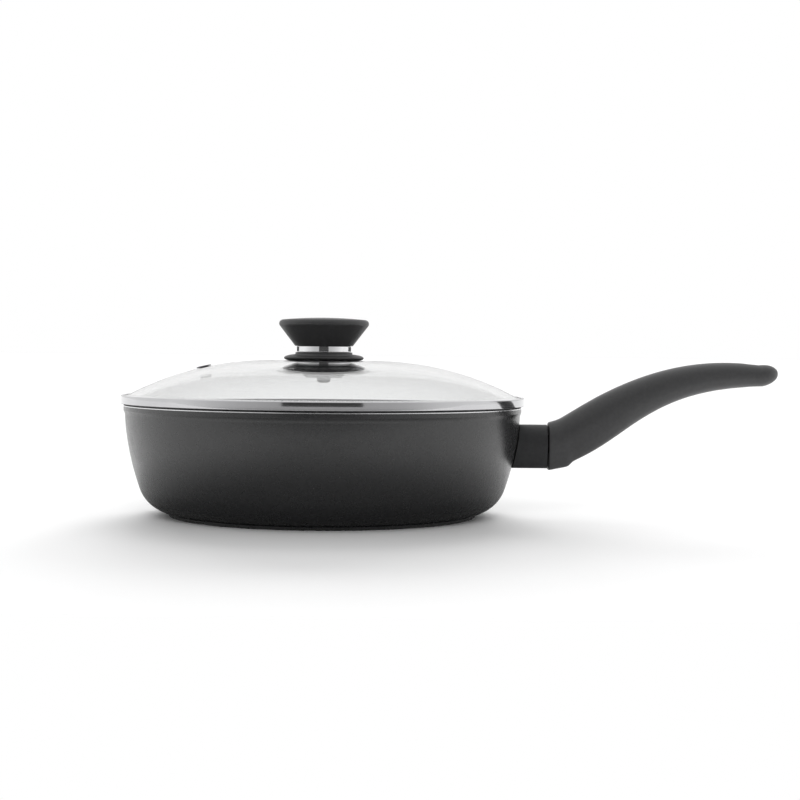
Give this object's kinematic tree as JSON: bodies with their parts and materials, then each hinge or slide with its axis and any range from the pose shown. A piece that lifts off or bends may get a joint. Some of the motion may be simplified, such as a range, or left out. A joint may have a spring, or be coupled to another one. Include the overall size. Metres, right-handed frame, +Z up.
{
  "type": "frying pan with lid",
  "caption": "Deep round frying pan with a long raised handle and a domed glass lid that lifts off by a flared knob.",
  "frame": {"origin": "centre of the flat base, on the surface that the pan stands on", "axes": "+Z up along the pan's axis, +X along the handle"},
  "size_m": [0.4313, 0.2642, 0.13],
  "materials": {
    "coated_cast": "cast, satin dark grey baked coating",
    "base_steel": "turned",
    "moulded_black": "moulded, matte",
    "fastener_steel": "zinc plated",
    "clear_glass": "clear tempered",
    "polished_steel": "mirror polished",
    "vent_steel": "darkened",
    "silicone": "matte",
    "brass": "turned"
  },
  "bodies": {
    "pan": {"pan_body": "coated_cast", "induction_plate": "base_steel", "flame_guard": "moulded_black", "handle_grip": "moulded_black", "tongue_insert": "fastener_steel", "handle_screw": "fastener_steel", "handle_washer": "fastener_steel"},
    "lid": {"lid_glass": "clear_glass", "lid_band": "polished_steel", "vent_eyelet": "vent_steel", "knob_gasket": "silicone", "lower_collar": "polished_steel", "heat_guard": "moulded_black", "upper_collar": "polished_steel", "knob_cap": "moulded_black", "knob_insert": "brass", "knob_screw": "fastener_steel", "under_gasket": "silicone", "under_washer": "fastener_steel", "spring_washer": "fastener_steel"}
  },
  "joints": [
    {"name": "lid_lift", "type": "slide", "parent": "pan", "child": "lid", "axis": [0, 0, 1], "range_m": [0, 0.12]}
  ]
}
